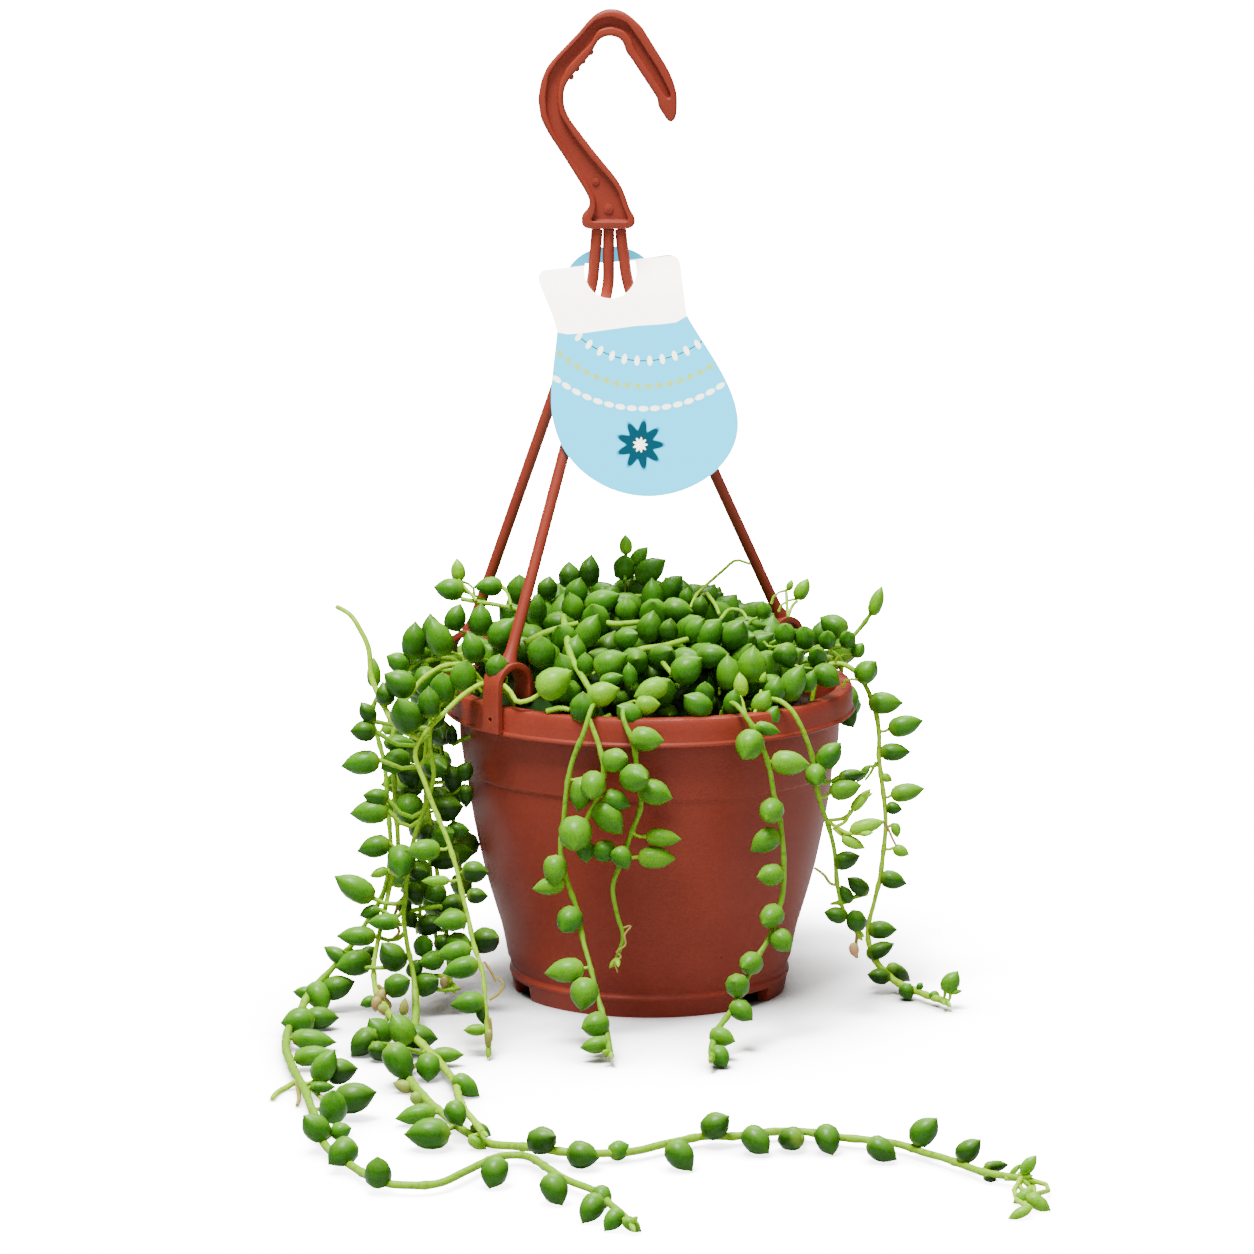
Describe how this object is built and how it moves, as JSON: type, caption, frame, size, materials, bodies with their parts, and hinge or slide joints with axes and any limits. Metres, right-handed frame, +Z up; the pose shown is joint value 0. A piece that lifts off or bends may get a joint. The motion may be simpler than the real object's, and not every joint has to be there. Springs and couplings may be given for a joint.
{
  "type": "hanging potted succulent",
  "caption": "String of pearls in a terracotta-red plastic hanging pot, with a hook hanger on three clipped arms, a card plant tag and stems that trail over the rim and along the surface.",
  "frame": {"origin": "centre of the pot's foot, on the surface that it stands on", "axes": "+Z up along the pot's axis, -Y towards the front of the plant, +X to the right as seen from the front"},
  "size_m": [0.2244, 0.368, 0.3043],
  "materials": {
    "pot_plastic": "terracotta-red injection moulding with a soft satin sheen",
    "potting_mix": "dark moist peat and bark mix, matt and crumbly",
    "tag_card": "die-cut light-blue and cream printed card with a smooth coat",
    "pearl_leaf": "plump green succulent leaves with a waxy sheen, on thin paler stems"
  },
  "bodies": {
    "root": {"pot": "pot_plastic", "soil": "potting_mix", "hook": "pot_plastic", "arm_back_left": "pot_plastic", "arm_front_left": "pot_plastic", "arm_back_right": "pot_plastic", "tag": "tag_card", "crown": "pearl_leaf", "strand_front_left": "pearl_leaf", "strand_front_middle": "pearl_leaf", "strand_front_right": "pearl_leaf", "strand_right_inner": "pearl_leaf", "strand_right_outer": "pearl_leaf", "strand_right_runner": "pearl_leaf", "strand_left_pale": "pearl_leaf", "strand_left_loop": "pearl_leaf", "strand_left_fork": "pearl_leaf", "strand_left_floor": "pearl_leaf", "strand_left_inner_1": "pearl_leaf", "strand_left_inner_2": "pearl_leaf", "strand_left_inner_3": "pearl_leaf", "strand_left_inner_4": "pearl_leaf", "strand_back_1": "pearl_leaf", "strand_back_2": "pearl_leaf", "strand_back_3": "pearl_leaf", "strand_back_4": "pearl_leaf", "strand_back_5": "pearl_leaf"}
  },
  "joints": []
}
